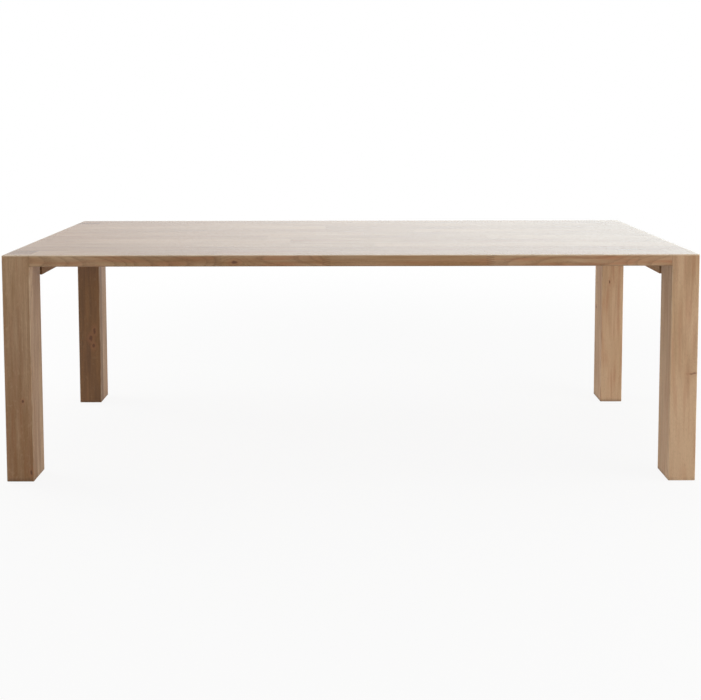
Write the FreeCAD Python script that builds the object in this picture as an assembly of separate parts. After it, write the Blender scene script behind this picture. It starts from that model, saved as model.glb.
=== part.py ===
import FreeCAD, Part

import math
import os

from FreeCAD import Vector

# Parsons dining table in oak. Millimetres, +Z up. The origin is on the floor under the middle of the
# table, +X runs along the table and -Y is its front. Four full-height legs stand in notched corners of
# the top, flush with it on every side. Pieces of one corner are made at the right rear one, where X and
# Y are both positive, and mirrored to the other three.

# Overall sizes
LENGTH = 2286.0
WIDTH = 914.0
HEIGHT = 762.0
EDGE_RADIUS = 2.5           # eased arris of the top and the legs

# Top: staves glued edge to edge, each finger-jointed from shorter boards
TOP_THICKNESS = 38.0
STAVE_COUNT = 10
FINGER_LENGTH = 22.0
FINGER_COUNT = 6            # fingers through the thickness
FINGER_TIP = 0.8            # flat on the end of a finger
BOARD_JOINTS = (            # middle of each finger joint along X, the front stave first
    (-436.0, -80.0, 458.0),
    (215.0,),
    (-545.0, 95.0),
    (-205.0,),
    (-300.0, 520.0),
    (60.0,),
    (-510.0, 255.0),
    (-90.0,),
    (-250.0, 560.0),
    (130.0,),
)

# Legs: three boards glued face to face, front to back
LEG_WIDTH = 90.0            # along X
LEG_DEPTH = 103.0           # along Y
LEG_BOARDS = ("face", "core", "inner")  # from the outer face of the table inwards
FOOT_CHAMFER = 2.0

# Loose tenons between a leg and the top: one in the outer stave's end, one in the side of the notch
END_TENON_THICKNESS = 12.0
END_TENON_WIDTH = 50.0
END_TENON_LENGTH = 70.0
SIDE_TENON_THICKNESS = 10.0
SIDE_TENON_WIDTH = 46.0
SIDE_TENON_LENGTH = 50.0
MORTISE_END_GAP = 1.0       # room for glue at each end of a loose tenon

# Cross cleats under the top
END_CLEAT_THICKNESS = 25.0
END_CLEAT_DEPTH = 48.0
CLEAT_GAP = 19.0            # between the end of an end cleat and the leg
MID_CLEAT_OFFSET = 400.0    # middle of a middle cleat from the middle of the table
MID_CLEAT_WIDTH = 60.0
MID_CLEAT_DEPTH = 25.0
MID_CLEAT_SETBACK = 177.0   # from the front and rear edges of the top
MID_CLEAT_BEVEL = 14.0      # on the ends
MID_CLEAT_END = 8.0         # square part of the ends, above the bevel
CLEAT_ARRIS = 2.0

# Cleat screws: pan heads on washers, in slots that let the top move across its grain. Each cleat has
# four, evenly spaced.
END_CLEAT_SCREW_INSET = 51.0            # outer screws to the bracket plates
MID_CLEAT_SCREW_INSET = 55.0            # outer screws to the ends of the cleat
CLEAT_SCREW_RADIUS = 2.5
CLEAT_SCREW_BITE = 25.0     # into the top
PAN_HEAD_RADIUS = 5.0
PAN_HEAD_HEIGHT = 3.5
CLEAT_WASHER_RADIUS = 7.0
CLEAT_WASHER_THICKNESS = 1.5
SLOT_TRAVEL = 8.0
SLOT_SIDE_GAP = 0.5         # slot to screw, and counterbore to washer
END_CLEAT_COUNTERBORE = 24.0
MID_CLEAT_COUNTERBORE = 8.0

# Corner brackets: folded steel, the plate let in flush under the top, the flange against the leg
BRACKET_THICKNESS = 5.0
BRACKET_LENGTH = 206.0
BRACKET_PLATE_WIDTH = 78.0
BRACKET_CORNER_RADIUS = 8.0
BRACKET_BEND_RADIUS = 4.0   # on the outside of the fold
FLANGE_CORNER_RADIUS = 6.0
BRACKET_INSET = 7.0         # flange to each side of the leg
FLANGE_RISE = 4.0           # flange to the lower face of the end cleat
RELIEF_WIDTH = 3.0
RELIEF_DEPTH = 10.0
POCKET_GAP = 0.5
PLATE_SCREW_EDGE = 16.0     # screw to a long edge of the plate
PLATE_SCREW_COLUMNS = (20.0, 80.0)      # screws from the plate's inner end
PLATE_SCREW_RADIUS = 2.4
PLATE_SCREW_LENGTH = 28.0
COUNTERSUNK_RADIUS = 4.75
SCREW_GAP = 0.05            # screw to its pilot hole or countersink

# Leg bolts, with a washer each, in threaded inserts
BOLT_SPACING = 40.0
BOLT_RADIUS = 4.0
BOLT_LENGTH = 30.0
BOLT_HEAD_FLATS = 13.0
BOLT_HEAD_HEIGHT = 5.3
BOLT_HEAD_TAPER = 30.0      # degrees, turned off the corners of the head
BOLT_END_CHAMFER = 1.0
BOLT_HOLE_RADIUS = 4.5
BOLT_WASHER_RADIUS = 8.0
BOLT_WASHER_THICKNESS = 1.6
INSERT_RADIUS = 6.0
INSERT_LENGTH = 25.0
INSERT_RIDGES = 7
INSERT_RIDGE_HEIGHT = 0.9
INSERT_HOLE_SPARE = 2.0     # depth of the hole past the insert

# Feet: a nylon disc on a screw, with a felt pad under it
GLIDE_RADIUS = 22.0
GLIDE_THICKNESS = 2.5
GLIDE_ARRIS = 0.8
FELT_RADIUS = 20.0
FELT_THICKNESS = 1.5
GLIDE_SCREW_RADIUS = 2.0
GLIDE_SCREW_HEAD_RADIUS = 4.0
GLIDE_SCREW_LENGTH = 24.0

# All screws
RECESS_WIDTH = 1.1          # each bar of the crossed drive
RECESS_SHARE = 0.62         # of the head's radius
RECESS_DEPTH = 0.65         # of the head's height
POINT_LENGTH = 2.0          # in shank radii
POINT_END = 0.2             # radius of the point's end, in shank radii
HOLE_SPARE = 1.0            # depth of a pilot hole past its screw

# Places that follow from the sizes
UNDERSIDE = HEIGHT - TOP_THICKNESS
TOP_MIDDLE = HEIGHT - TOP_THICKNESS / 2
FOOT = FELT_THICKNESS + GLIDE_THICKNESS
END = LENGTH / 2
SIDE = WIDTH / 2
LEG_X = END - LEG_WIDTH     # inner face of a leg, seen along the table
LEG_Y = SIDE - LEG_DEPTH    # inner face of a leg, seen across the table
LEG_MID_X = END - LEG_WIDTH / 2
LEG_MID_Y = SIDE - LEG_DEPTH / 2
STAVE_WIDTH = WIDTH / STAVE_COUNT
END_CLEAT_MID_X = LEG_X + END_CLEAT_THICKNESS / 2
END_CLEAT_BASE = UNDERSIDE - END_CLEAT_DEPTH
MID_CLEAT_BASE = UNDERSIDE - MID_CLEAT_DEPTH
FLANGE_BASE = END_CLEAT_BASE + FLANGE_RISE
PLATE_OUTER = END - BRACKET_INSET
PLATE_INNER = PLATE_OUTER - BRACKET_LENGTH
PLATE_TOP = UNDERSIDE + BRACKET_THICKNESS
FLANGE_START = LEG_X + BRACKET_INSET
BOLT_Z = (UNDERSIDE + FLANGE_BASE) / 2
BOLT_SEAT_Y = LEG_Y - BRACKET_THICKNESS
PLATE_Y = LEG_Y - BRACKET_PLATE_WIDTH   # edge of a bracket plate, towards the middle of the table
# The end tenon is centred between the mortise of the side tenon and the outer face of the leg.
END_TENON_Y = (LEG_Y + SIDE_TENON_LENGTH / 2 + MORTISE_END_GAP + SIDE) / 2

CORNERS = {
    "front_left": (-1, -1),
    "front_right": (1, -1),
    "rear_left": (-1, 1),
    "rear_right": (1, 1),
}
UP = Vector(0, 0, 1)
TOLERANCE = 1e-6


def block(x0, x1, y0, y1, z0, z1):
    """A box between three pairs of planes, each pair given in either order."""
    low = Vector(min(x0, x1), min(y0, y1), min(z0, z1))
    return Part.makeBox(abs(x1 - x0), abs(y1 - y0), abs(z1 - z0), low)


def rod(radius, x, y, z, length, direction=UP):
    """A round rod that starts at a point."""
    return Part.makeCylinder(radius, length, Vector(x, y, z), direction)


def union(shapes):
    return shapes[0].multiFuse(shapes[1:]).removeSplitter()


def lies_on(edge, axis, value):
    """True if the whole edge lies on the plane where the axis has this value."""
    box = edge.BoundBox
    low, high = {
        "x": (box.XMin, box.XMax),
        "y": (box.YMin, box.YMax),
        "z": (box.ZMin, box.ZMax),
    }[axis]
    return abs(low - value) < TOLERANCE and abs(high - value) < TOLERANCE


def upright(edge):
    box = edge.BoundBox
    return box.XLength < TOLERANCE and box.YLength < TOLERANCE


def solid_of(shape):
    """The one solid that a cut or a common leaves."""
    if len(shape.Solids) != 1:
        raise ValueError(f"expected one solid, found {len(shape.Solids)}")
    return shape.Solids[0]


def at_corner(shape, corner):
    """A piece made at the right rear corner, mirrored to the named one."""
    side_x, side_y = CORNERS[corner]
    if side_x < 0:
        shape = shape.mirror(Vector(0, 0, 0), Vector(1, 0, 0))
    if side_y < 0:
        shape = shape.mirror(Vector(0, 0, 0), Vector(0, 1, 0))
    return shape


def at_all_corners(shape):
    return [at_corner(shape, corner) for corner in CORNERS]


def stadium(x, y, z, across, width, thickness, length):
    """A bar with round long edges, centred on a point. It runs along X, or along Y if across is true;
    its width is level and its thickness upright."""
    radius = thickness / 2
    half = width / 2 - radius
    low, high = Vector(-length / 2, -half, -radius), Vector(-length / 2, half, -radius)
    along = Vector(1, 0, 0)
    core = Part.makeBox(length, 2 * half, thickness, low)
    ends = [Part.makeCylinder(radius, length, p + Vector(0, 0, radius), along) for p in (low, high)]
    bar = union([core, *ends])
    if across:
        bar.rotate(Vector(0, 0, 0), UP, 90)
    bar.translate(Vector(x, y, z))
    return bar


def slot(x, y, z, width, travel, depth):
    """An upright slot that runs along Y, centred on a point, from z upwards."""
    radius = width / 2
    core = block(x - radius, x + radius, y - travel / 2, y + travel / 2, z, z + depth)
    ends = [rod(radius, x, y + side * travel / 2, z, depth) for side in (-1, 1)]
    return union([core, *ends])


def cross_recess(radius, depth):
    """The cutter of a screw's drive: two crossed bars, from z = 0 upwards."""
    reach = radius * RECESS_SHARE
    half = RECESS_WIDTH / 2
    return union([
        block(-reach, reach, -half, half, 0, depth),
        block(-half, half, -reach, reach, 0, depth),
    ])


def pointed_shank(radius, start, length):
    """The plain shank of a screw, from a height up to its point at the full length."""
    tip = radius * POINT_LENGTH
    shank = rod(radius, 0, 0, start, length - start - tip)
    return [shank, Part.makeCone(radius, radius * POINT_END, tip, Vector(0, 0, length - tip))]


def pan_screw(length):
    """A pan-head screw that points up, with the seat of its head at z = 0."""
    head = rod(PAN_HEAD_RADIUS, 0, 0, -PAN_HEAD_HEIGHT, PAN_HEAD_HEIGHT)
    rim = [edge for edge in head.Edges if lies_on(edge, "z", -PAN_HEAD_HEIGHT)]
    head = head.makeFillet(PAN_HEAD_HEIGHT / 2, rim)
    drive = cross_recess(PAN_HEAD_RADIUS, PAN_HEAD_HEIGHT * RECESS_DEPTH)
    drive.translate(Vector(0, 0, -PAN_HEAD_HEIGHT))
    return solid_of(union([head, *pointed_shank(CLEAT_SCREW_RADIUS, 0, length)]).cut(drive))


def countersunk_screw(radius, head_radius, length):
    """A countersunk screw that points up, with the flat of its head at z = 0."""
    head_height = head_radius - radius
    head = Part.makeCone(head_radius, radius, head_height)
    drive = cross_recess(head_radius, head_height * RECESS_DEPTH)
    return solid_of(union([head, *pointed_shank(radius, head_height, length)]).cut(drive))


def countersink(radius, head_radius, depth):
    """The cutter of a countersunk hole through a plate whose lower face is at z = 0."""
    hole = rod(radius + SCREW_GAP, 0, 0, 0, depth)
    wide = head_radius + SCREW_GAP
    cone = Part.makeCone(wide, radius + SCREW_GAP, wide - radius - SCREW_GAP)
    return union([hole, cone])


def moved(shape, x, y, z):
    copy = shape.copy()
    copy.translate(Vector(x, y, z))
    return copy


def washer(radius, bore, thickness):
    return rod(radius, 0, 0, 0, thickness).cut(rod(bore, 0, 0, 0, thickness))


def hex_bolt():
    """A hex bolt along +Y, with the seat of its head at y = 0."""
    corner = BOLT_HEAD_FLATS / math.sqrt(3)
    turns = [math.radians(60 * k) for k in range(7)]
    outline = [Vector(corner * math.cos(a), corner * math.sin(a), -BOLT_HEAD_HEIGHT) for a in turns]
    head = Part.Face(Part.makePolygon(outline)).extrude(Vector(0, 0, BOLT_HEAD_HEIGHT))
    # A cone turns the corners of the outer face off.
    spread = BOLT_HEAD_HEIGHT / math.tan(math.radians(BOLT_HEAD_TAPER))
    flat = BOLT_HEAD_FLATS / 2
    taper = Part.makeCone(flat, flat + spread, BOLT_HEAD_HEIGHT, Vector(0, 0, -BOLT_HEAD_HEIGHT))
    shank = rod(BOLT_RADIUS, 0, 0, 0, BOLT_LENGTH)
    shank = shank.makeChamfer(BOLT_END_CHAMFER, [e for e in shank.Edges if lies_on(e, "z", BOLT_LENGTH)])
    bolt = solid_of(union([head.common(taper), shank]))
    bolt.rotate(Vector(0, 0, 0), Vector(1, 0, 0), -90)
    return bolt


def threaded_insert():
    """A ridged sleeve along +Y that starts at y = 0: its half section turned about its axis."""
    bore = BOLT_RADIUS + SCREW_GAP
    pitch = INSERT_LENGTH / INSERT_RIDGES
    core = INSERT_RADIUS - INSERT_RIDGE_HEIGHT
    outline = [Vector(bore, 0, 0), Vector(core, 0, 0)]
    for k in range(INSERT_RIDGES):
        low = k * pitch
        outline.append(Vector(core, low + pitch * 0.25, 0))
        outline.append(Vector(INSERT_RADIUS, low + pitch * 0.45, 0))
        outline.append(Vector(INSERT_RADIUS, low + pitch * 0.55, 0))
        outline.append(Vector(core, low + pitch * 0.75, 0))
    outline += [Vector(core, INSERT_LENGTH, 0), Vector(bore, INSERT_LENGTH, 0), Vector(bore, 0, 0)]
    section = Part.Face(Part.makePolygon(outline))
    return section.revolve(Vector(0, 0, 0), Vector(0, 1, 0), 360)


def plate_screw_places():
    """The screws of one bracket: a square group at its inner end, and one outside the end cleat."""
    rows = (LEG_Y - PLATE_SCREW_EDGE, PLATE_Y + PLATE_SCREW_EDGE)
    places = [(PLATE_INNER + column, row) for column in PLATE_SCREW_COLUMNS for row in rows]
    outer_x = (LEG_X + END_CLEAT_THICKNESS + END) / 2
    return [*places, (outer_x, (LEG_Y + PLATE_Y) / 2)]


def rounded_plate(x0, x1, y0, y1, z0, z1, radius):
    """A level plate whose corners at the low end of X are rounded."""
    plate = block(x0, x1, y0, y1, z0, z1)
    corners = [e for e in plate.Edges if upright(e) and lies_on(e, "x", x0)]
    return plate.makeFillet(radius, corners)


def bracket():
    """The folded bracket: a level plate under the top, a flange down the inner face of the leg, a
    relief notch at the inner end of the fold, and the screw and bolt holes."""
    plate = rounded_plate(PLATE_INNER, PLATE_OUTER, PLATE_Y, LEG_Y, UNDERSIDE, PLATE_TOP,
                          BRACKET_CORNER_RADIUS)
    flange = block(FLANGE_START, PLATE_OUTER, BOLT_SEAT_Y, LEG_Y, FLANGE_BASE, PLATE_TOP)
    feet = [e for e in flange.Edges if lies_on(e, "z", FLANGE_BASE) and e.BoundBox.XLength < TOLERANCE]
    flange = flange.makeFillet(FLANGE_CORNER_RADIUS, feet)
    steel = union([plate, flange])
    relief = block(FLANGE_START - RELIEF_WIDTH, FLANGE_START, LEG_Y - RELIEF_DEPTH, LEG_Y,
                   UNDERSIDE, PLATE_TOP)
    steel = solid_of(steel.cut(relief))
    fold = [e for e in steel.Edges
            if lies_on(e, "y", LEG_Y) and lies_on(e, "z", PLATE_TOP) and e.BoundBox.XMin > FLANGE_START - 1]
    steel = steel.makeFillet(BRACKET_BEND_RADIUS, fold)
    holes = [moved(countersink(PLATE_SCREW_RADIUS, COUNTERSUNK_RADIUS, BRACKET_THICKNESS), x, y, UNDERSIDE)
             for x, y in plate_screw_places()]
    holes += [rod(BOLT_HOLE_RADIUS, x, BOLT_SEAT_Y, BOLT_Z, BRACKET_THICKNESS, Vector(0, 1, 0))
              for x in bolt_columns()]
    return solid_of(steel.cut(holes))


def bolt_columns():
    return [LEG_MID_X + side * BOLT_SPACING / 2 for side in (-1, 1)]


def bracket_pocket():
    """What is routed and drilled out of the top for one bracket."""
    pocket = rounded_plate(PLATE_INNER - POCKET_GAP, PLATE_OUTER + POCKET_GAP,
                           PLATE_Y - POCKET_GAP, LEG_Y + POCKET_GAP,
                           UNDERSIDE, PLATE_TOP, BRACKET_CORNER_RADIUS + POCKET_GAP)
    pilots = [rod(PLATE_SCREW_RADIUS + SCREW_GAP, x, y, UNDERSIDE, PLATE_SCREW_LENGTH + HOLE_SPARE)
              for x, y in plate_screw_places()]
    return [pocket, *pilots]


def end_tenon(gap=0.0):
    """The loose tenon in the end of the outer stave, or its mortise if it has a gap at its ends."""
    return stadium(LEG_X, END_TENON_Y, TOP_MIDDLE, False,
                   END_TENON_WIDTH, END_TENON_THICKNESS, END_TENON_LENGTH + 2 * gap)


def side_tenon(gap=0.0):
    """The loose tenon in the side of the notch, or its mortise if it has a gap at its ends."""
    return stadium(LEG_MID_X, LEG_Y, TOP_MIDDLE, True,
                   SIDE_TENON_WIDTH, SIDE_TENON_THICKNESS, SIDE_TENON_LENGTH + 2 * gap)


def cleat_screw_places(x, outer):
    """Four screws in a row across the table, from one outer screw to the other."""
    return [(x, outer * step / 3) for step in (-3, -1, 1, 3)]


def end_cleat_screw_places(side):
    return cleat_screw_places(side * END_CLEAT_MID_X, PLATE_Y - END_CLEAT_SCREW_INSET)


def mid_cleat_screw_places(side):
    return cleat_screw_places(side * MID_CLEAT_OFFSET, SIDE - MID_CLEAT_SETBACK - MID_CLEAT_SCREW_INSET)


def panel():
    """The whole top after machining: eased arrises, notched corners, mortises, pockets and pilots."""
    slab = block(-END, END, -SIDE, SIDE, UNDERSIDE, HEIGHT)
    arrises = [e for e in slab.Edges if lies_on(e, "z", UNDERSIDE) or lies_on(e, "z", HEIGHT)]
    slab = slab.makeFillet(EDGE_RADIUS, arrises)
    notch = block(LEG_X, END, LEG_Y, SIDE, UNDERSIDE, HEIGHT)
    cutters = [notch, end_tenon(MORTISE_END_GAP), side_tenon(MORTISE_END_GAP), *bracket_pocket()]
    cutters = [copy for cutter in cutters for copy in at_all_corners(cutter)]
    for side in (-1, 1):
        cutters += [rod(CLEAT_SCREW_RADIUS + SCREW_GAP, x, y, UNDERSIDE, CLEAT_SCREW_BITE + HOLE_SPARE)
                    for x, y in end_cleat_screw_places(side) + mid_cleat_screw_places(side)]
    return slab.cut(cutters)


def finger_line(x):
    """A finger joint from the underside to the top of the table: a wave of pointed fingers."""
    pitch = TOP_THICKNESS / FINGER_COUNT
    root, tip = x - FINGER_LENGTH / 2, x + FINGER_LENGTH / 2
    flat = FINGER_TIP / 2
    points = [(root, UNDERSIDE)]
    for k in range(FINGER_COUNT):
        low = UNDERSIDE + k * pitch
        points.append((root, low + flat))
        points.append((tip, low + pitch / 2 - flat))
        points.append((tip, low + pitch / 2 + flat))
        points.append((root, low + pitch - flat))
    return [*points, (root, HEIGHT)]


def board_blank(left, right, y):
    """A board of one stave, between two finger joints or the ends of the top."""
    square = [(-END, UNDERSIDE), (-END, HEIGHT)]
    rising = finger_line(left) if left is not None else square
    falling = finger_line(right) if right is not None else [(END, z) for _, z in square]
    outline = [Vector(x, y, z) for x, z in [*rising, *reversed(falling), rising[0]]]
    return Part.Face(Part.makePolygon(outline)).extrude(Vector(0, STAVE_WIDTH, 0))


def top_boards():
    """The panel parted along its glue lines."""
    whole = panel()
    boards = {}
    for row in range(STAVE_COUNT):
        joints = BOARD_JOINTS[row % len(BOARD_JOINTS)]
        ends = [None, *joints, None]
        for k in range(len(joints) + 1):
            blank = board_blank(ends[k], ends[k + 1], row * STAVE_WIDTH - SIDE)
            boards[f"top_board_{row + 1:02d}{'abcd'[k]}"] = solid_of(whole.common(blank))
    return boards


def leg():
    """The whole leg after machining: the head stands square in the notch with its outer arrises eased
    like those of the top, and below the top all four arrises are eased."""
    head = block(LEG_X, END, LEG_Y, SIDE, UNDERSIDE, HEIGHT)
    outer = [e for e in head.Edges
             if (upright(e) and lies_on(e, "x", END) and lies_on(e, "y", SIDE))
             or (lies_on(e, "z", HEIGHT) and (lies_on(e, "x", END) or lies_on(e, "y", SIDE)))]
    head = head.makeFillet(EDGE_RADIUS, outer)
    shaft = block(LEG_X, END, LEG_Y, SIDE, FOOT, UNDERSIDE)
    shaft = shaft.makeFillet(EDGE_RADIUS, [e for e in shaft.Edges if upright(e)])
    shaft = shaft.makeChamfer(FOOT_CHAMFER, [e for e in shaft.Edges if lies_on(e, "z", FOOT)])
    cutters = [end_tenon(MORTISE_END_GAP), side_tenon(MORTISE_END_GAP)]
    cutters += [rod(INSERT_RADIUS, x, LEG_Y, BOLT_Z, INSERT_LENGTH + INSERT_HOLE_SPARE, Vector(0, 1, 0))
                for x in bolt_columns()]
    cutters.append(rod(GLIDE_SCREW_RADIUS + SCREW_GAP, LEG_MID_X, LEG_MID_Y, FOOT, GLIDE_SCREW_LENGTH))
    return head.fuse(shaft).cut(cutters)


def leg_boards():
    """The leg parted along its glue lines."""
    whole = leg()
    thickness = LEG_DEPTH / len(LEG_BOARDS)
    boards = {}
    for k, name in enumerate(LEG_BOARDS):
        outer = SIDE - k * thickness
        slab = block(LEG_X - 1, END + 1, outer, outer - thickness, 0, HEIGHT + 1)
        boards[name] = solid_of(whole.common(slab))
    return boards


def slotted(cleat, base, counterbore, places):
    """A cleat with a counterbored slot at each screw."""
    cutters = []
    for x, y in places:
        wide = 2 * (CLEAT_WASHER_RADIUS + SLOT_SIDE_GAP)
        narrow = 2 * (CLEAT_SCREW_RADIUS + SLOT_SIDE_GAP)
        cutters.append(slot(x, y, base, wide, SLOT_TRAVEL, counterbore))
        cutters.append(slot(x, y, base, narrow, SLOT_TRAVEL, UNDERSIDE - base))
    return solid_of(cleat.cut(cutters))


def end_cleat():
    """The right end cleat, its inner face in line with the inner faces of the legs."""
    half = LEG_Y - CLEAT_GAP
    cleat = block(LEG_X, LEG_X + END_CLEAT_THICKNESS, -half, half, END_CLEAT_BASE, UNDERSIDE)
    cleat = cleat.makeFillet(CLEAT_ARRIS, [e for e in cleat.Edges if lies_on(e, "z", END_CLEAT_BASE)])
    return slotted(cleat, END_CLEAT_BASE, END_CLEAT_COUNTERBORE, end_cleat_screw_places(1))


def mid_cleat():
    """The right middle cleat, with bevelled ends."""
    half = SIDE - MID_CLEAT_SETBACK
    short = half - MID_CLEAT_BEVEL
    low_x = MID_CLEAT_OFFSET - MID_CLEAT_WIDTH / 2
    bevel_top = UNDERSIDE - MID_CLEAT_END
    outline = [(-half, UNDERSIDE), (half, UNDERSIDE), (half, bevel_top),
               (short, MID_CLEAT_BASE), (-short, MID_CLEAT_BASE), (-half, bevel_top)]
    points = [Vector(low_x, y, z) for y, z in [*outline, outline[0]]]
    cleat = Part.Face(Part.makePolygon(points)).extrude(Vector(MID_CLEAT_WIDTH, 0, 0))
    cleat = cleat.makeFillet(CLEAT_ARRIS, [e for e in cleat.Edges
                                           if lies_on(e, "z", MID_CLEAT_BASE) and e.BoundBox.YLength > short])
    return slotted(cleat, MID_CLEAT_BASE, MID_CLEAT_COUNTERBORE, mid_cleat_screw_places(1))


def cleat_hardware(base, counterbore, places):
    """The washers and screws of a pair of cleats."""
    seat = base + counterbore
    ring = washer(CLEAT_WASHER_RADIUS, CLEAT_SCREW_RADIUS + SLOT_SIDE_GAP / 2, CLEAT_WASHER_THICKNESS)
    grip = CLEAT_WASHER_THICKNESS + UNDERSIDE - seat
    screw = pan_screw(grip + CLEAT_SCREW_BITE)
    washers = [moved(ring, x, y, seat - CLEAT_WASHER_THICKNESS) for x, y in places]
    screws = [moved(screw, x, y, seat - CLEAT_WASHER_THICKNESS) for x, y in places]
    return washers, screws


def leg_bolt_hardware():
    """The bolts, washers and inserts of one leg."""
    ring = washer(BOLT_WASHER_RADIUS, BOLT_RADIUS + SLOT_SIDE_GAP / 2, BOLT_WASHER_THICKNESS)
    ring.rotate(Vector(0, 0, 0), Vector(1, 0, 0), -90)
    seat = BOLT_SEAT_Y - BOLT_WASHER_THICKNESS
    columns = bolt_columns()
    bolts = [moved(hex_bolt(), x, seat, BOLT_Z) for x in columns]
    washers = [moved(ring, x, seat, BOLT_Z) for x in columns]
    inserts = [moved(threaded_insert(), x, LEG_Y, BOLT_Z) for x in columns]
    return bolts, washers, inserts


def foot():
    """The glide, its felt pad and its screw, under one leg."""
    disc = rod(GLIDE_RADIUS, LEG_MID_X, LEG_MID_Y, FELT_THICKNESS, GLIDE_THICKNESS)
    disc = disc.makeFillet(GLIDE_ARRIS, [e for e in disc.Edges if lies_on(e, "z", FELT_THICKNESS)])
    hole = moved(countersink(GLIDE_SCREW_RADIUS, GLIDE_SCREW_HEAD_RADIUS, GLIDE_THICKNESS),
                 LEG_MID_X, LEG_MID_Y, FELT_THICKNESS)
    felt = rod(FELT_RADIUS, LEG_MID_X, LEG_MID_Y, 0, FELT_THICKNESS)
    screw = moved(countersunk_screw(GLIDE_SCREW_RADIUS, GLIDE_SCREW_HEAD_RADIUS, GLIDE_SCREW_LENGTH),
                  LEG_MID_X, LEG_MID_Y, FELT_THICKNESS)
    return solid_of(disc.cut(hole)), felt, screw


def group(shapes):
    """Like pieces in one node: each stays a solid of its own."""
    return Part.makeCompound([shape.Solids[0] for shape in shapes])


def everywhere(shapes):
    return group([copy for shape in shapes for copy in at_all_corners(shape)])


def build():
    nodes = dict(top_boards())
    for name, board in leg_boards().items():
        for corner in CORNERS:
            nodes[f"leg_{corner}_{name}_board"] = at_corner(board, corner)
    steel = bracket()
    for corner in CORNERS:
        nodes[f"corner_bracket_{corner}"] = at_corner(steel, corner)
    for name, cleat in (("end", end_cleat()), ("mid", mid_cleat())):
        nodes[f"{name}_cleat_right"] = cleat
        nodes[f"{name}_cleat_left"] = cleat.mirror(Vector(0, 0, 0), Vector(1, 0, 0))
    end_washers, end_screws = cleat_hardware(END_CLEAT_BASE, END_CLEAT_COUNTERBORE,
                                             end_cleat_screw_places(-1) + end_cleat_screw_places(1))
    mid_washers, mid_screws = cleat_hardware(MID_CLEAT_BASE, MID_CLEAT_COUNTERBORE,
                                             mid_cleat_screw_places(-1) + mid_cleat_screw_places(1))
    nodes["cleat_washers"] = group(end_washers + mid_washers)
    nodes["end_cleat_screws"] = group(end_screws)
    nodes["mid_cleat_screws"] = group(mid_screws)
    plate_screw = countersunk_screw(PLATE_SCREW_RADIUS, COUNTERSUNK_RADIUS, PLATE_SCREW_LENGTH)
    nodes["bracket_screws"] = everywhere([moved(plate_screw, x, y, UNDERSIDE)
                                          for x, y in plate_screw_places()])
    bolts, washers, inserts = leg_bolt_hardware()
    nodes["leg_bolts"] = everywhere(bolts)
    nodes["leg_bolt_washers"] = everywhere(washers)
    nodes["leg_inserts"] = everywhere(inserts)
    nodes["end_tenons"] = everywhere([end_tenon()])
    nodes["side_tenons"] = everywhere([side_tenon()])
    glide, felt, screw = foot()
    nodes["foot_glides"] = everywhere([glide])
    nodes["foot_felts"] = everywhere([felt])
    nodes["foot_glide_screws"] = everywhere([screw])
    return nodes


os.makedirs("parts", exist_ok=True)
for node, shape in build().items():
    if not shape.isValid():
        raise ValueError(f"{node} isn't a valid shape")
    shape.exportStep(f"parts/{node}.step")
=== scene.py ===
import math

import bpy
import numpy as np
from mathutils import Matrix, Vector


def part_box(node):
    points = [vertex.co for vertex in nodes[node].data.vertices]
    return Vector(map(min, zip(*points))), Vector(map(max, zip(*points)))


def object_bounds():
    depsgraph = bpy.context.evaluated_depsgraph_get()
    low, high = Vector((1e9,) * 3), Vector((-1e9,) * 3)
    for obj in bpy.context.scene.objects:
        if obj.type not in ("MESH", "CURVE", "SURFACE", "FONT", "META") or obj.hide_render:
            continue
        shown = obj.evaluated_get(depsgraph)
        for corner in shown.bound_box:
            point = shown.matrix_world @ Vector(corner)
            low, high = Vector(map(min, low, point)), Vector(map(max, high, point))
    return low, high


# A long oak table: a top of finger-jointed staves and four legs glued up from three boards. Every board
# keeps its CAD shape and gets its own piece of a log: annual rings, pores, rays and knots are worked out
# in the solid, so the grain runs on round every arris and shows as rings on the end grain.

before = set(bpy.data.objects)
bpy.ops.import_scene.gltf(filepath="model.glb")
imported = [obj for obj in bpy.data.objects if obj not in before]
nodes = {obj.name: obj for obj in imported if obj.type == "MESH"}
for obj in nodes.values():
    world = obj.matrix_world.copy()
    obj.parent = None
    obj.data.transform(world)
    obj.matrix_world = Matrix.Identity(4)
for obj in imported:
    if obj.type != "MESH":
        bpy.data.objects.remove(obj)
cad_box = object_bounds()

# Sizes of the table, in millimetres, from the frame
MM = 1000.0                         # millimetres in a metre
END, SIDE, TOP = (MM * value for value in cad_box[1])
LEG_X, LEG_Y = (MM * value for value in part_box("leg_rear_right_inner_board")[0][:2])
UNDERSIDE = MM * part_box("top_board_05a")[0][2]
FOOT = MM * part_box("leg_rear_right_inner_board")[0][2]
FINGER_LENGTH = 22.0
FINGER_COUNT = 6
FINGER_SLOPE = 0.142                # the sine of the angle between a finger's flank and the grain
# What a millimetre counts as, in the distance from a glue line
TIP_ALONG = 0.6                     # along the grain, from the tips of the fingers
TIP_ACROSS = 0.055                  # along the grain, from the flanks beside a tip
JOINT_END = 4.0                     # down a leg, from the underside of the top
SLACK = 1.0                         # faces nearer to each other than this are the same face


# ---------------------------------------------------------------------------------------------------
# Recipes: the nodes of a material, written as sums
# ---------------------------------------------------------------------------------------------------


class Field:
    """A number that varies over a surface, such as a distance. Arithmetic on it adds Math nodes."""

    def __init__(self, recipe, socket):
        self.recipe = recipe
        self.socket = socket

    def __add__(self, other):
        return self.recipe.math("ADD", self, other)

    def __sub__(self, other):
        return self.recipe.math("SUBTRACT", self, other)

    def __rsub__(self, other):
        return self.recipe.math("SUBTRACT", other, self)

    def __mul__(self, other):
        return self.recipe.math("MULTIPLY", self, other)

    def __pow__(self, other):
        return self.recipe.math("POWER", self, other)

    def __abs__(self):
        return self.recipe.math("ABSOLUTE", self)

    __radd__ = __add__


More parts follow.
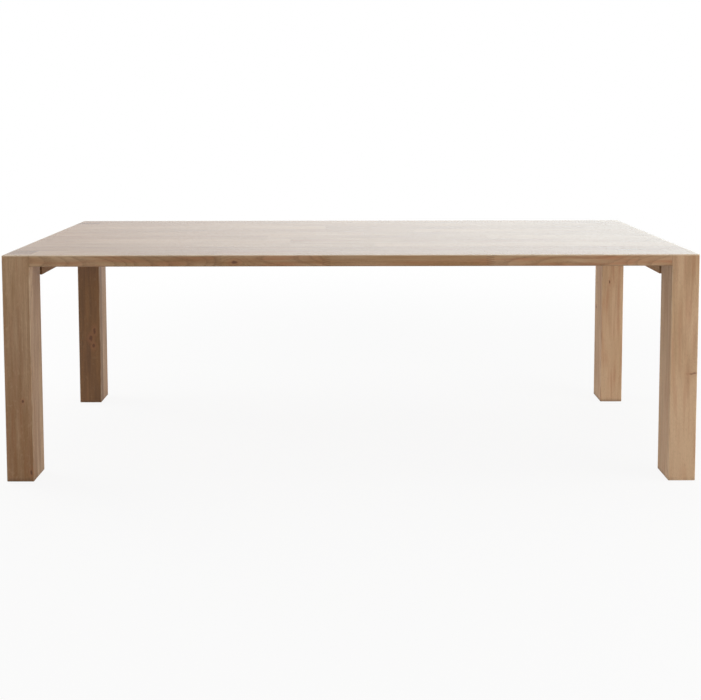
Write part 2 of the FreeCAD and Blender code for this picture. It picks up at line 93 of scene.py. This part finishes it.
class Recipe:
    """A material, or the world's light, and the nodes added to it so far."""

    def __init__(self, owner):
        self.owner = owner
        owner.use_nodes = True
        self.tree = owner.node_tree
        self.tree.nodes.clear()

    def node(self, kind, settings=None, sockets=None, out=0):
        """Adds a node: its settings first, then a value or a link for each socket."""
        made = self.tree.nodes.new("ShaderNode" + kind)
        for name, value in (settings or {}).items():
            setattr(made, name, value)
        for name, value in (sockets or {}).items():
            if isinstance(value, Field):
                self.tree.links.new(value.socket, made.inputs[name])
            else:
                made.inputs[name].default_value = value
        return Field(self, made.outputs[out]) if made.outputs else made

    def math(self, operation, first, second=0.0):
        return self.node("Math", {"operation": operation}, {0: first, 1: second})

    def least(self, first, second):
        return self.math("MINIMUM", first, second)

    def most(self, first, second):
        return self.math("MAXIMUM", first, second)

    def fraction(self, value):
        return self.math("FRACT", value)

    def rise(self, value, low, high):
        """0 below low, 1 above high, with a soft step between. If low is above high, it falls."""
        limits = {"Value": value, "From Min": min(low, high), "From Max": max(low, high)}
        if low > high:
            limits |= {"To Min": 1.0, "To Max": 0.0}
        return self.node("MapRange", {"interpolation_type": "SMOOTHSTEP"}, limits)

    def place(self):
        """The X, Y and Z of a point on the table, in millimetres."""
        scaled = self.node("VectorMath", {"operation": "SCALE"},
                           {0: self.node("TexCoord", out="Object"), "Scale": MM})
        return self.parts(scaled)

    def parts(self, vector):
        apart = self.node("SeparateXYZ", sockets={0: vector})
        return [Field(self, socket) for socket in apart.socket.node.outputs]

    def vector(self, x, y, z):
        return self.node("CombineXYZ", sockets={0: x, 1: y, 2: z})

    def noise(self, point, sizes, detail=1.0, rough=0.5, out=0):
        """Soft noise from 0 to 1. Its lumps have these sizes along the point's three coordinates, in
        millimetres, or one size along all of them."""
        scaled = [value * (1 / size) for value, size in zip(point, np.broadcast_to(sizes, 3))]
        sockets = {"Vector": self.vector(*scaled), "Scale": 1.0, "Detail": detail, "Roughness": rough}
        return self.node("TexNoise", {"normalize": True}, sockets, out)

    def mix(self, share, first, second):
        """A colour between two colours."""
        return self.node("Mix", {"data_type": "RGBA"}, {0: share, 6: first, 7: second}, out=2)

    def seen_directly(self):
        """1 for rays from the camera and for reflections, else 0."""
        from_camera = self.node("LightPath", out="Is Camera Ray")
        return self.most(from_camera, self.node("LightPath", out="Is Glossy Ray"))

    def surface(self, colour, roughness, height, constants):
        """Ends the recipe in a Principled surface. Height is in millimetres, and constants are the sockets
        that are the same all over."""
        bump = self.node("Bump", sockets={"Height": height, "Distance": 1 / MM, "Strength": 1.0})
        sockets = {"Base Color": colour, "Roughness": roughness, "Normal": bump} | constants
        self.node("OutputMaterial", sockets={"Surface": self.node("BsdfPrincipled", sockets=sockets)})
        return self.owner


def material_recipe(name):
    return Recipe(bpy.data.materials.new(name))


def srgb(red, green, blue):
    """A paint colour from its 0 to 255 screen values."""
    levels = (value / 255 for value in (red, green, blue))
    linear = [v / 12.92 if v <= 0.04045 else ((v + 0.055) / 1.055) ** 2.4 for v in levels]
    return (*linear, 1.0)


# ---------------------------------------------------------------------------------------------------
# Oak
# ---------------------------------------------------------------------------------------------------

OAK_PALE = srgb(202, 169, 135)
OAK_DEEP = srgb(140, 100, 64)
OAK_PAINTED_SHADE = srgb(98, 67, 42)        # the darkest tone, which paints shade on the boards that stand in shade
OAK_EARLY = srgb(122, 84, 52)       # the porous start of each ring
OAK_PORE = srgb(74, 49, 31)
OAK_RAY = srgb(208, 176, 140)
OAK_KNOT = srgb(78, 44, 25)
# dark glue lines, and the painted shade under the lower arris of the top
OAK_GLUE_AND_SHADE = srgb(92, 64, 42)
# pale wear on the arrises, and the painted highlight on the upper arris and rim of the top
OAK_WORN_AND_HIGHLIGHT = srgb(246, 224, 194)
OAK_RED = srgb(168, 112, 78)
OAK_GOLD = srgb(158, 116, 62)
# Roughness: the oiled faces, the rubbed top, and the cleats, which are left as sawn
SATIN = 0.58
RUBBED = 0.25
SAWN = 0.8
# Distances that a mark spans, in millimetres: where it ends, and where it is full
# pale wear on every arris, which also carries the painted highlight of the top's upper arris
ARRIS_WEAR_AND_HIGHLIGHT = (3.8, 0.6)
# a painted highlight: a pale rim on the top surface beside the arris
RIM_HIGHLIGHT = (14.0, 3.0)              # on the top surface, beside the arris
# painted shade
ARRIS_SHADE = (5.0, 1.0)            # at the lower arris of the top
GLUE_LINE = (0.7, 0.2)
HIDDEN = 20.0                       # added to a distance, it is past the reach of every mark
WANDER = 17.0                       # how far the pith strays, in millimetres
RING_WANDER = 5.0                   # and how many years the rings run ahead or behind
# Knots, in their own half lengths and half widths from the middle
KNOT_RAGGED = 1.2
KNOT_CORE = (1.4, 0.5)
KNOT_BLOOM = (3.6, 0.8)
KNOT_REACH = 6.0
KNOT_PUSH = 1.6                     # how far it pushes the rings
# Relief, in millimetres
FIBRE_RELIEF = 0.008
PORE_DEPTH = 0.03
EARLY_DEPTH = 0.01
PLANED_WAVE = 0.15
GLUE_DEPTH = 0.05


class Board:
    """How one board was cut: the axis its grain runs along, where the pith of its log lies beside it, how
    its grain slopes, how wide its rings are, its tone, how that tone changes over a metre, and how much it
    leans towards red.
    A change of tone along a board paints a change in its light. A tone of 0 is deep, 1 is pale, and below 0
    is painted shade, darker than the wood. A knot is its X, Y and Z, and its half lengths along and across
    the grain.
    What isn't given is drawn."""

    def __init__(self, node, along, tone=None, drift=0.0, red=None, pith=None, ring=None, slope=None,
                 knots=()):
        self.node = node
        self.along = along
        self.low, self.high = (MM * np.array(corner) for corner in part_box(node))
        self.middle = (self.low + self.high) / 2
        luck = np.random.default_rng(sum(ord(letter) * (k + 1) for k, letter in enumerate(node)))
        self.start = luck.uniform(-400, 400, 3)
        drawn_tone, drawn_red = luck.uniform(0.3, 0.7), luck.uniform(0.0, 0.5)
        flat = luck.choice((-1, 1), 2) * luck.uniform((0, 60), (50, 110))
        rift = luck.choice((-1, 1), 2) * luck.uniform((110, 60), (190, 140))
        drawn_pith = flat if luck.uniform() < 0.45 else rift
        drawn_ring = luck.uniform(2.0, 3.2)
        drawn_slope = luck.uniform(-0.02, 0.02, 2)
        self.tone = drawn_tone if tone is None else tone
        self.drift = drift
        self.red = drawn_red if red is None else red
        self.pith = drawn_pith if pith is None else pith
        self.ring = drawn_ring if ring is None else ring
        self.slope = drawn_slope if slope is None else slope
        self.knots = knots


def grain_axes(along, x, y, z):
    """The board's own directions: along its grain, across its width, and through it."""
    return {"x": (x, y, z), "y": (y, x, z), "z": (z, x, y)}[along]


def arris(recipe, x, y, z, leg):
    """How near a point is to an outer arris, in millimetres: the second smallest of its distances to
    the faces along X, Y and Z."""
    from_end = END - abs(x)
    from_side = SIDE - abs(y)
    bottom = UNDERSIDE
    if leg:
        # Where the head of the leg stands in the top, its inner faces have no arris.
        hidden = recipe.rise(z, UNDERSIDE - 1, UNDERSIDE) * HIDDEN
        from_end = recipe.least(from_end, abs(x) - LEG_X + hidden)
        from_side = recipe.least(from_side, abs(y) - LEG_Y + hidden)
        bottom = FOOT
    from_face = recipe.least(TOP - z, z - bottom)
    lower = recipe.least(from_end, from_side)
    upper = recipe.most(from_end, from_side)
    return recipe.most(lower, recipe.least(upper, from_face))


def seams(recipe, board, x, y, z, facing_up):
    """How near a point is to a glue line, in millimetres: the sides of a stave, its finger joints, the
    faces between the boards of a leg, and the joint between a leg and the top. A stave's own ends, at
    the legs or at the ends of the table, have no fingers."""
    low, high = board.low, board.high
    stave = board.node.startswith("top")
    glued_from = 0.0 if stave else LEG_Y + SLACK
    near = [abs(y - edge) for edge in (low[1], high[1]) if glued_from <= abs(edge) < SIDE - SLACK]
    if stave:
        # Seen from the side, a finger joint is a zigzag that starts and ends at its root. The glue is
        # thicker at the tips of its fingers.
        wave = abs(recipe.fraction((z - UNDERSIDE) * (FINGER_COUNT / (TOP - UNDERSIDE))) * 2 - 1)
        flank = facing_up * (1 - FINGER_SLOPE) + FINGER_SLOPE
        for edge, root in ((low[0], low[0]), (high[0], high[0] - FINGER_LENGTH)):
            if abs(edge) < LEG_X - SLACK:
                zigzag = abs(x - root - (1 - wave) * FINGER_LENGTH)
                tips = abs(abs(x - root - FINGER_LENGTH / 2) - FINGER_LENGTH / 2)
                near.append(zigzag * flank)
                along_grain = facing_up * (1 - TIP_ALONG) + TIP_ALONG
                near.append(recipe.most(tips * along_grain, zigzag * TIP_ACROSS))
        near.append(recipe.most(abs(abs(x) - LEG_X), LEG_Y - abs(y)))
        near.append(recipe.most(abs(abs(y) - LEG_Y), LEG_X - abs(x)))
    else:
        below = recipe.most(UNDERSIDE - z, 0.0) * JOINT_END
        near.append(abs(abs(x) - LEG_X) + below)
        near.append(abs(abs(y) - LEG_Y) + below)
    nearest = near[0]
    for other in near[1:]:
        nearest = recipe.least(nearest, other)
    return nearest


def with_knots(recipe, board, place, grain, radius):
    """The ring distance of a point, with the rings pushed aside by the board's knots, and how much of
    the point is a knot's dark core and the red bloom around it, which are None on a clear board."""
    core = bloom = None
    if board.knots:
        ragged = (recipe.noise(place, 9, 2.0) - 0.5) * KNOT_RAGGED
    for *middle, long, wide in board.knots:
        a, b, c = ((value - centre) * (1 / size) for value, centre, size
                   in zip(grain, grain_axes(board.along, *middle), (long, wide, wide)))
        off = (a * a + b * b + c * c) ** 0.5 + ragged
        radius = radius + recipe.rise(off, KNOT_REACH, 0.0) * min(long, wide) * KNOT_PUSH
        this_core = recipe.rise(off, *KNOT_CORE)
        this_bloom = recipe.rise(off, *KNOT_BLOOM)
        core = this_core if core is None else recipe.most(core, this_core)
        bloom = this_bloom if bloom is None else recipe.most(bloom, this_bloom)
    return radius, core, bloom


def oak(board):
    """The oak of one board. Rings are cylinders about a pith that wanders beside the board; pores are
    short threads along the grain, thickest at the start of a ring; rays are thin sheets that run from
    the pith outwards."""
    r = material_recipe("oak_" + board.node)
    x, y, z = r.place()
    a, b, c = grain_axes(board.along, x, y, z)
    a0, b0, c0 = grain_axes(board.along, *board.middle)
    sa, sb, sc = board.start
    spot = (a + sa, b + sb, c + sc)
    normal = r.parts(r.node("TexCoord", out="Normal"))

    # The pith's line, with a slow wander and a slope against the board.
    wander_b, wander_c, cloud = r.parts(r.noise(spot, (330, 130, 130), 1.0, 0.4, out=1))
    across = b - (b0 + board.pith[0]) + (a - a0) * board.slope[0] + (wander_b - 0.5) * WANDER
    through = c - (c0 + board.pith[1]) + (a - a0) * board.slope[1] + (wander_c - 0.5) * WANDER
    radius = (across * across + through * through) ** 0.5
    radius, knot, halo = with_knots(r, board, (x, y, z), (a, b, c), radius)

    # Rings, from their porous start to their dense end, in wide and narrow years.
    year = radius * (1 / board.ring) + r.noise((radius, sb, sc), (19, 1, 1), 2.0, 0.7) * RING_WANDER
    part = r.fraction(year)
    early = r.rise(part, 0.65, 0.0) * r.rise(part, 0.0, 0.07)

    # Threads of the wood: broad streaks, narrow streaks, fine fibre, pores and rays.
    streak = r.noise(spot, (240, 17, 17), 3.0, 0.55)
    narrow = r.noise((a + sb, b + sc, c + sa), (170, 3.2, 3.2), 2.0, 0.6)
    fibre = r.noise(spot, (38, 0.8, 0.8), 2.0)
    threads = r.noise(spot, (7.5, 0.3, 0.3))
    pores = r.rise(threads + early * 0.14, 0.66, 0.76)
    turn = r.math("ARCTAN2", through, across) * radius
    rays = r.rise(r.noise((a + sa, turn, radius), (22, 0.9, 13)), 0.58, 0.78)

    # Faces cut across the grain are deeper. The top surface is rubbed smoother than the rest.
    end_grain = r.rise(abs(grain_axes(board.along, *normal)[0]), 0.7, 0.95)
    rubbed = r.rise(normal[2], 0.5, 0.95) * r.rise(z, UNDERSIDE, TOP - 3)

    # The clear wood, from deep to pale, with a lean to gold or red.
    leg = board.node.startswith("leg")
    depth = (streak - 0.5) * (1.65 - rubbed * 0.6) + (narrow - 0.5) * 0.4 + (cloud - 0.5) * 0.7
    # The change of tone along the board is painted light: the board grows lighter or darker along its length
    # as its light does.
    depth = depth + (a - a0) * (board.drift / MM) + board.tone
    colour = r.mix(r.rise(depth, -0.3, 1.2), OAK_DEEP, OAK_PALE)
    # A tone below 0 is painted shade: the board is darkened past the wood's deepest tone.
    if board.tone < 0:
        colour = r.mix(r.rise(depth, 0.0, -1.2), colour, OAK_PAINTED_SHADE)
    golden = r.rise(wander_b, 0.46, 0.68) * (1 - rubbed)
    colour = r.mix(golden * (0.15 if leg else 0.3), colour, OAK_GOLD)
    if board.red:
        blush = r.noise((a - sa, b - sb, c - sc), (170, 14, 14))
        colour = r.mix(r.rise(blush, 0.42, 0.72) * board.red, colour, OAK_RED)
    colour = r.mix(early * streak * 0.44 + (fibre - 0.5) * 0.22, colour, OAK_EARLY)
    colour = r.mix(rays * (1 - end_grain * 0.5) * (0.2 if board.tone > 0 else 0.07), colour, OAK_RAY)
    colour = r.mix(pores * 0.6, colour, OAK_PORE)
    colour = r.mix(end_grain * 0.1, colour, OAK_EARLY)

    # Wear and painted light: pale where hands and cloths rub the arrises, with a painted highlight on the
    # upper arris of the top and on a rim of the top surface beside it, painted shade under the lower arris
    # of the top, and darker towards the feet.
    edge = arris(r, x, y, z, leg)
    patches = r.rise(r.noise((x, y, z), 60, 2.0), 0.15, 0.8)
    # The upper arris of the top takes a painted highlight: its pale wear is fuller and paler there.
    upper = r.rise(z, TOP - 9, TOP - 3)
    wear_and_highlight = r.rise(edge * (1 - upper * 0.25), *ARRIS_WEAR_AND_HIGHLIGHT) * (patches - upper * (patches - 1) * 0.7)
    if not leg:
        # Painted shade: darker along the lower arris of the top, where shade falls.
        lower_arris_shade = r.rise(z, UNDERSIDE + 7, UNDERSIDE + 2) * r.rise(edge, *ARRIS_SHADE)
        wear_and_highlight = wear_and_highlight * (1 - lower_arris_shade)
        colour = r.mix(lower_arris_shade * 0.35, colour, OAK_GLUE_AND_SHADE)
    # Pale wear on the arrises, raised to a painted highlight on the upper arris of the top.
    colour = r.mix(wear_and_highlight * (upper * 0.45 + 0.4), colour, OAK_WORN_AND_HIGHLIGHT)
    # Painted highlight: a pale rim on the top surface beside its arris.
    colour = r.mix(r.rise(edge, *RIM_HIGHLIGHT) * patches * rubbed * 0.3, colour, OAK_WORN_AND_HIGHLIGHT)
    if leg:
        # Darker towards the foot, in streaky patches.
        darker_foot = r.rise(z, 20, FOOT + 1) * r.rise(streak + cloud, 0.7, 1.1)
        colour = r.mix(darker_foot * 0.5, colour, OAK_PORE)

    # Knots and glue lines.
    if board.knots:
        colour = r.mix(halo * 0.35, colour, OAK_RED)
        colour = r.mix(knot * 0.75, colour, OAK_KNOT)
    planed = not board.node.startswith(("end", "mid"))
    if planed:
        seam = r.rise(seams(r, board, x, y, z, abs(normal[2])), *GLUE_LINE)
        colour = r.mix(seam * 0.55, colour, OAK_GLUE_AND_SHADE)

    satin = SATIN - rubbed * (SATIN - RUBBED) if planed else SAWN
    roughness = (streak - 0.5) * 0.05 + pores * 0.15 + wear_and_highlight * 0.04 + satin
    height = fibre * FIBRE_RELIEF - pores * PORE_DEPTH - early * EARLY_DEPTH + cloud * PLANED_WAVE
    if planed:
        height = height - seam * (1 - rubbed * 0.7) * GLUE_DEPTH
    return r.surface(colour, roughness, height, {"IOR": 1.5})


# ---------------------------------------------------------------------------------------------------
# Other finishes
# ---------------------------------------------------------------------------------------------------


def beech(name):
    """Steamed beech: an even pink-brown with short dark flecks along the tenon."""
    r = material_recipe(name)
    place = r.place()
    fleck = r.rise(r.noise(place, (4, 4, 0.5)), 0.62, 0.72)
    cloud = r.noise(place, (30, 30, 9), 2.0)
    colour = r.mix(cloud, srgb(190, 146, 108), srgb(214, 174, 134))
    colour = r.mix(fleck * 0.5, colour, srgb(140, 96, 64))
    return r.surface(colour, 0.55 + cloud * 0.1, fleck * -0.02, {"IOR": 1.5})


def powder_coat(name):
    """Black powder coat: a fine orange peel, with dust in its hollows."""
    r = material_recipe(name)
    place = r.place()
    peel = r.noise(place, 0.9, 2.0)
    cloud = r.noise(place, 40, 3.0)
    colour = r.mix(r.rise(cloud, 0.35, 0.75) * 0.5 + peel * 0.2, srgb(30, 30, 32), srgb(62, 60, 58))
    return r.surface(colour, 0.5 + (peel - 0.5) * 0.2 + cloud * 0.1, peel * 0.03, {"IOR": 1.5})


def zinc(name):
    """Bright zinc plate on steel: pale blue to straw clouds, fine draw lines and a dulled skin."""
    r = material_recipe(name)
    place = r.place()
    cloud = r.noise(place, 6, 2.0)
    lines = r.noise(place, (0.25, 0.25, 2.5))
    colour = r.mix(r.rise(cloud, 0.35, 0.65), srgb(182, 188, 196), srgb(204, 198, 182))
    colour = r.mix(lines * 0.3, colour, srgb(150, 154, 160))
    dulled = 0.3 + lines * 0.16 + (cloud - 0.5) * 0.1
    return r.surface(colour, dulled, lines * 0.006, {"Metallic": 1.0})


def nylon(name):
    """Moulded nylon: off-white, faintly mottled, with a fine spark-eroded grain."""
    r = material_recipe(name)
    place = r.place()
    grain = r.noise(place, 0.35, 2.0)
    cloud = r.noise(place, 12, 2.0)
    colour = r.mix(cloud * 0.7 + grain * 0.3, srgb(205, 200, 188), srgb(224, 221, 212))
    return r.surface(colour, 0.42 + grain * 0.12, grain * 0.02, {"IOR": 1.53})


def felt(name):
    """Pressed wool felt: a tangle of grey-brown fibres."""
    r = material_recipe(name)
    x, y, z = r.place()
    bend = (r.noise((x, y, z), 3) - 0.5) * 6
    one_way = r.noise((x + bend, y - bend, z), (0.18, 2.2, 0.2), 2.0)
    other_way = r.noise((x - bend, y + bend, z), (2.2, 0.18, 0.2), 2.0)
    fibres = r.most(one_way, other_way)
    cloud = r.noise((x, y, z), 8, 2.0)
    colour = r.mix(fibres * 0.8 + (cloud - 0.5) * 0.6, srgb(58, 50, 42), srgb(136, 122, 104))
    return r.surface(colour, 0.9 + (fibres - 0.5) * 0.1, fibres * 0.25, {"Sheen Weight": 0.5})


# ---------------------------------------------------------------------------------------------------
# The boards and the hardware
# ---------------------------------------------------------------------------------------------------

# The boards that show most, given one by one. The rest come as they are drawn.
# Their tones and changes of tone are partly the wood and partly painted light: the right legs are paler and
# the left legs deeper for the light from the right, and each leg's tone changes from head to foot as its
# light does.
CHOSEN = {
    "top_board_01a": {"tone": 0.5, "drift": -1.15, "red": 0.5, "pith": (110, -6), "ring": 2.6,
                      "slope": (-0.045, 0.01)},
    "top_board_01b": {"tone": 0.4, "drift": 0.2, "red": 0.7, "pith": (95, 14), "ring": 2.4,
                      "slope": (0.03, 0.012), "knots": [(-381, -457, 738, 10, 5)]},
    "top_board_01c": {"tone": 0.36, "red": 0.45, "pith": (60, -120), "ring": 3.0, "slope": (0.0, 0.01)},
    "top_board_01d": {"tone": 0.42, "red": 0.8, "pith": (120, -16), "ring": 2.8, "slope": (0.026, -0.008)},
    "leg_front_left_face_board": {"tone": 0.28, "drift": 0.9, "red": 0.2, "pith": (-170, 30),
                                  "slope": (0.006, 0.01),
                                  "knots": [(-1084, -457, 276, 5, 3.5), (-1061, -457, 35, 8, 4)]},
    "leg_front_left_core_board": {"tone": 0.3, "drift": -0.8, "red": 0.1, "pith": (-60, 170),
                                  "slope": (0.01, 0.004)},
    "leg_front_left_inner_board": {"tone": 0.3, "drift": -0.8, "red": 0.0, "pith": (60, 150),
                                   "slope": (-0.01, 0.006)},
    "leg_front_right_face_board": {"tone": 0.98, "drift": -1.0, "red": 0.3, "pith": (190, -40),
                                   "slope": (0.008, 0.01),
                                   "knots": [(1122, -457, 364, 1.8, 8), (1134, -457, 367, 1.8, 7)]},
    "leg_front_right_core_board": {"tone": 1.05, "drift": -1.2, "red": 0.3, "pith": (60, 180),
                                   "slope": (0.01, -0.006)},
    "leg_front_right_inner_board": {"tone": 1.1, "drift": -1.2, "red": 0.3, "pith": (-50, -150),
                                    "slope": (0.01, 0.01)},
    # The rear-left leg's tone below 0 is painted shade.
    "leg_rear_left_inner_board": {"tone": -0.6, "red": 0.0, "pith": (-150, 40), "slope": (0.01, 0.01),
                                  "knots": [(-1092, 354, 279, 11, 7), (-1077, 354, 310, 12, 5),
                                            (-1082, 354, 247, 8, 6)]},
    "leg_rear_right_inner_board": {"tone": 0.98, "drift": -1.9, "red": 0.5, "pith": (180, 50),
                                   "slope": (0.006, 0.01), "knots": [(1085, 354, 515, 8, 2.4)]},
    "leg_rear_right_core_board": {"tone": 0.85, "red": 0.4},
    "leg_rear_right_face_board": {"tone": 0.8, "red": 0.4, "knots": [(1053, 436, 391, 5, 6)]},
    # The left cleat's tone below 0 is painted shade.
    "end_cleat_left": {"tone": -0.45, "red": 0.0},
    "end_cleat_right": {"tone": 0.5, "red": 0.3},
}


def draw_boards(along, prefix, ending=""):
    """The boards whose names start and end so, with their grain along one axis."""
    names = sorted(name for name in nodes if name.startswith(prefix) and name.endswith(ending))
    return [Board(name, along, **CHOSEN.get(name, {})) for name in names]


boards = draw_boards("x", "top_board") + draw_boards("z", "leg_", "_board")
for cleat in ("end_cleat_left", "end_cleat_right", "mid_cleat_left", "mid_cleat_right"):
    boards += draw_boards("y", cleat)

HARDWARE = {
    beech: ("end_tenons", "side_tenons"),
    powder_coat: [f"corner_bracket_{end}_{side}" for end in ("front", "rear") for side in ("left", "right")],
    zinc: ("bracket_screws", "cleat_washers", "end_cleat_screws", "mid_cleat_screws", "leg_bolts",
           "leg_bolt_washers", "leg_inserts", "foot_glide_screws"),
    nylon: ("foot_glides",),
    felt: ("foot_felts",),
}


def finish_node(node, material):
    slots = nodes[node].data.materials
    slots.clear()
    slots.append(material)


for board in boards:
    finish_node(board.node, oak(board))
for finish, members in HARDWARE.items():
    material = finish(finish.__name__)
    for node in members:
        finish_node(node, material)


# ---------------------------------------------------------------------------------------------------
# Studio
# ---------------------------------------------------------------------------------------------------

FLOOR_SIZE = 40.0
SHADOW = 0.1                        # the share of the table's shadow that the eye sees on the floor
SHADOW_FADE = (900.0, 3800.0)       # where it starts to fade and where it is gone, in millimetres
WHITE = (1.0, 1.0, 1.0, 1.0)
AMBIENT = 0.17                      # the room's light on the table, against the white that the eye sees

# Camera: its place in metres, its turns in degrees, its lens in millimetres, its shift in frames
CAMERA_PLACE = (-0.0009, -3.3713, 1.2348)
YAW = -0.016
PITCH = -3.5
ROLL = -0.1
LENS = 46.12
SHIFT = -0.2639

# Lamps: sizes in metres, power in watts. The window is a pale blue-green glow behind the table.
LAMPS = {
    "key": {"place": (3.5, -1.4, 0.7), "aim": (0.2, 0.0, 0.2), "size": (2.4, 1.4), "power": 69.0},
    "front": {"place": (-0.4, -5.2, 2.6), "aim": (0.0, 0.0, 0.5), "size": (5.0, 3.0), "power": 55.0},
    "left": {"place": (-3.6, 0.9, 0.8), "aim": (0.0, 0.2, 0.4), "size": (1.8, 1.4), "power": 74.0},
    "overhead": {"place": (0.0, 0.3, 3.0), "aim": (0.0, 0.0, 0.0), "size": (3.5, 2.2), "power": 34.0},
    "window": {"place": (0.0, 5.25, 1.6), "aim": (-0.9, 4.05, 1.6), "size": (8.4, 3.2), "power": 36.0,
               "mirrored": True, "spread": 110, "colour": (0.87, 1.02, 1.06)},
}


def make_world():
    """A white room to the eye and in reflections, and a dimmer even light on everything else."""
    r = Recipe(bpy.data.worlds.new("white_room"))
    strength = r.seen_directly() * (1 - AMBIENT) + AMBIENT
    room = r.node("Background", sockets={"Color": WHITE, "Strength": strength})
    r.node("OutputWorld", sockets={"Surface": room})
    bpy.context.scene.world = r.owner


def make_floor():
    """A wide pale floor. It is nearly white to the eye, and keeps a share of the table's shadow that
    fades out with distance, so that it meets the white room with no line."""
    r = material_recipe("pale_floor")
    x, y, _ = r.place()
    far = r.rise((x * x + y * y) ** 0.5, *SHADOW_FADE)
    paper = r.noise((x, y, 0.0), 40, 3.0)
    plain = r.node("BsdfDiffuse", sockets={"Color": r.mix(paper, srgb(232, 231, 229), srgb(238, 237, 235))})
    bright = r.node("Emission", sockets={"Color": WHITE, "Strength": 1.0})
    glow = r.seen_directly() * (far * SHADOW + (1 - SHADOW))
    mixed = r.node("MixShader", sockets={0: glow, 1: plain, 2: bright})
    r.node("OutputMaterial", sockets={"Surface": mixed})
    half = FLOOR_SIZE / 2
    mesh = bpy.data.meshes.new("floor")
    corners = [(-half, -half, 0), (half, -half, 0), (half, half, 0), (-half, half, 0)]
    mesh.from_pydata(corners, [], [(0, 1, 2, 3)])
    mesh.materials.append(r.owner)
    floor = bpy.data.objects.new("floor", mesh)
    bpy.context.scene.collection.objects.link(floor)


def softbox(name, place, aim, size, power, mirrored=False, spread=180, colour=(1.0, 1.0, 1.0)):
    """A soft area lamp at a place, turned towards a point. A smaller spread, in degrees, dims it to
    its sides. Only a mirrored lamp shows in the sheen of the table. The others don't, so that no side
    of the table has a hot spot."""
    lamp = bpy.data.lights.new(name, "AREA")
    lamp.shape = "RECTANGLE"
    lamp.size, lamp.size_y = size
    lamp.energy = power
    lamp.spread = math.radians(spread)
    lamp.color = colour
    made = bpy.data.objects.new(name, lamp)
    made.visible_camera = False
    made.visible_glossy = mirrored
    turn = (Vector(aim) - Vector(place)).to_track_quat("-Z", "Y")
    made.matrix_world = Matrix.Translation(place) @ turn.to_matrix().to_4x4()
    bpy.context.scene.collection.objects.link(made)


def make_camera():
    """An eye-level camera in front of the table, near its middle."""
    data = bpy.data.cameras.new("camera")
    data.sensor_width = 36.0
    data.lens = LENS
    data.shift_y = SHIFT
    camera = bpy.data.objects.new("camera", data)
    place = Matrix.Translation(CAMERA_PLACE)
    yaw = Matrix.Rotation(math.radians(YAW), 4, "Z")
    tilt = Matrix.Rotation(math.radians(90 + PITCH), 4, "X")
    roll = Matrix.Rotation(math.radians(ROLL), 4, "Z")
    camera.matrix_world = place @ yaw @ tilt @ roll
    bpy.context.scene.collection.objects.link(camera)
    bpy.context.scene.camera = camera


make_world()
make_floor()
for name, lamp in LAMPS.items():
    softbox(name, **lamp)
make_camera()
bpy.context.scene.view_settings.view_transform = "Standard"
